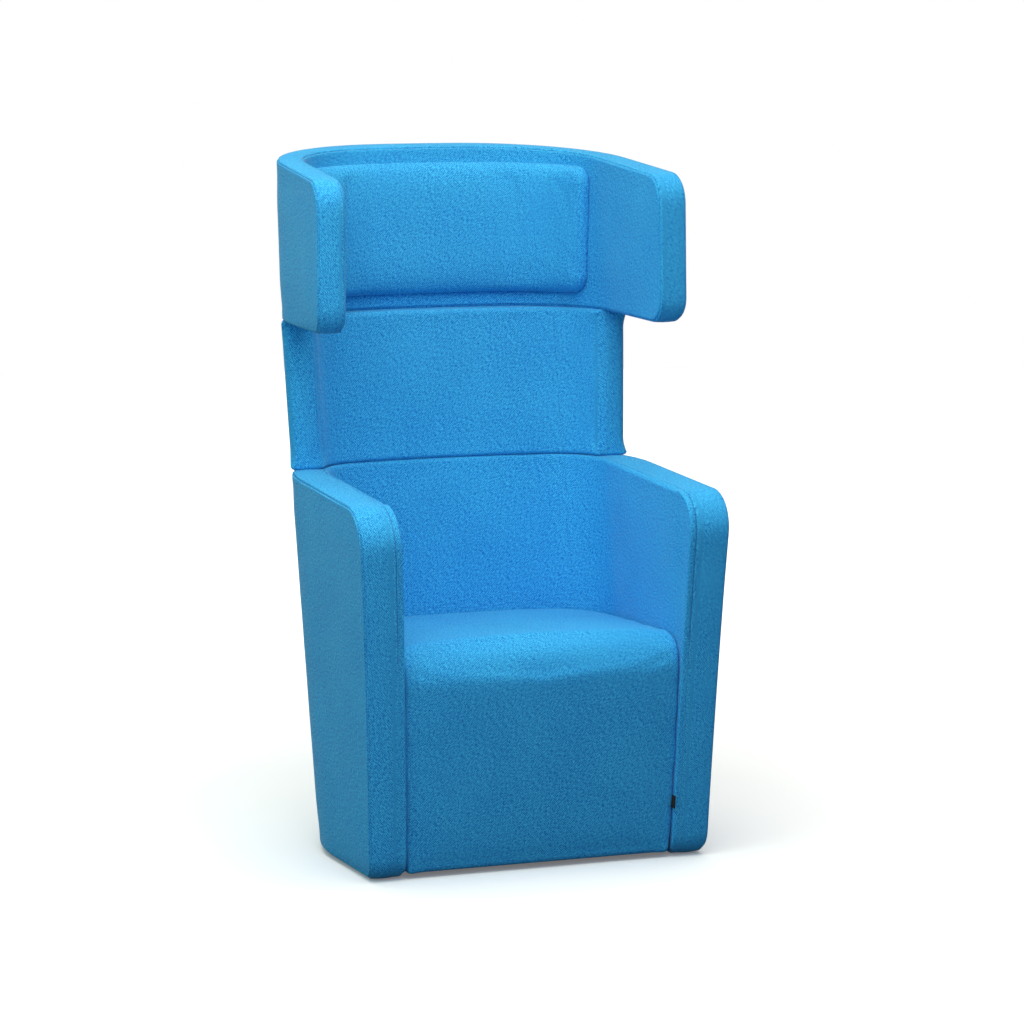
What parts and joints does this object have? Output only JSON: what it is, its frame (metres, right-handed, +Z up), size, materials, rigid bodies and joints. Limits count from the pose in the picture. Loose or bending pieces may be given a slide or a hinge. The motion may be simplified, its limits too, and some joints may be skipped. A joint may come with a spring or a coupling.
{
  "type": "acoustic high back lounge chair",
  "caption": "Upholstered lounge chair with wrap-round arms, a high concave back, a winged acoustic hood with head pad, a block seat and levelling glides.",
  "frame": {"origin": "on the floor under the middle of the chair's bounding box", "axes": "+Z up, the sitter faces -Y, X is across the chair"},
  "size_m": [0.7492, 0.837, 1.358],
  "materials": {
    "upholstery_fabric": "fine basket-woven wool-blend upholstery, azure blue",
    "lining_fabric": "black non-woven dust cover",
    "tag_fabric": "plain black woven tape",
    "strap_webbing": "elastic seat webbing",
    "foam": "moulded seating foam",
    "plywood": "birch plywood, unfinished",
    "painted_steel": "black powder coat",
    "zinc_steel": "zinc plated",
    "glide_plastic": "black moulded nylon"
  },
  "bodies": {
    "chair": {"arm_board_left": "plywood", "arm_board_right": "plywood", "arm_foam_left": "foam", "arm_foam_right": "foam", "arm_panel_left": "upholstery_fabric", "arm_panel_right": "upholstery_fabric", "back_board": "plywood", "back_foam": "foam", "base_board": "plywood", "dust_cover": "lining_fabric", "front_foam": "foam", "glide_insert_front_left": "zinc_steel", "glide_insert_front_right": "zinc_steel", "glide_insert_rear_left": "zinc_steel", "glide_insert_rear_right": "zinc_steel", "hood_band": "upholstery_fabric", "hood_board": "plywood", "hood_foam": "foam", "hood_inner_cover": "upholstery_fabric", "hood_outer_cover": "upholstery_fabric", "mid_board": "plywood", "mid_foam": "foam", "mid_inner_cover": "upholstery_fabric", "mid_outer_cover": "upholstery_fabric", "pad_board": "plywood", "pad_cover": "upholstery_fabric", "pad_foam": "foam", "pad_studs": "glide_plastic", "seam_tag": "tag_fabric", "seat_cover": "upholstery_fabric", "seat_foam": "foam", "seat_front_board": "plywood", "seat_rear_board": "plywood", "seat_side_board_left": "plywood", "seat_side_board_right": "plywood", "seat_straps": "strap_webbing", "tub_back_panel": "upholstery_fabric", "tub_band": "upholstery_fabric", "tub_outer_cover": "upholstery_fabric", "upright_left": "painted_steel", "upright_right": "painted_steel", "upright_screws": "zinc_steel"},
    "glide_front_left": {"glide_pad_front_left": "glide_plastic", "glide_stud_front_left": "zinc_steel"},
    "glide_front_right": {"glide_pad_front_right": "glide_plastic", "glide_stud_front_right": "zinc_steel"},
    "glide_rear_left": {"glide_pad_rear_left": "glide_plastic", "glide_stud_rear_left": "zinc_steel"},
    "glide_rear_right": {"glide_pad_rear_right": "glide_plastic", "glide_stud_rear_right": "zinc_steel"}
  },
  "joints": [
    {"name": "level_front_left", "type": "slide", "parent": "chair", "child": "glide_front_left", "axis": [0, 0, -1], "range_m": [0, 0.01]},
    {"name": "level_front_right", "type": "slide", "parent": "chair", "child": "glide_front_right", "axis": [0, 0, -1], "range_m": [0, 0.01]},
    {"name": "level_rear_left", "type": "slide", "parent": "chair", "child": "glide_rear_left", "axis": [0, 0, -1], "range_m": [0, 0.01]},
    {"name": "level_rear_right", "type": "slide", "parent": "chair", "child": "glide_rear_right", "axis": [0, 0, -1], "range_m": [0, 0.01]}
  ]
}
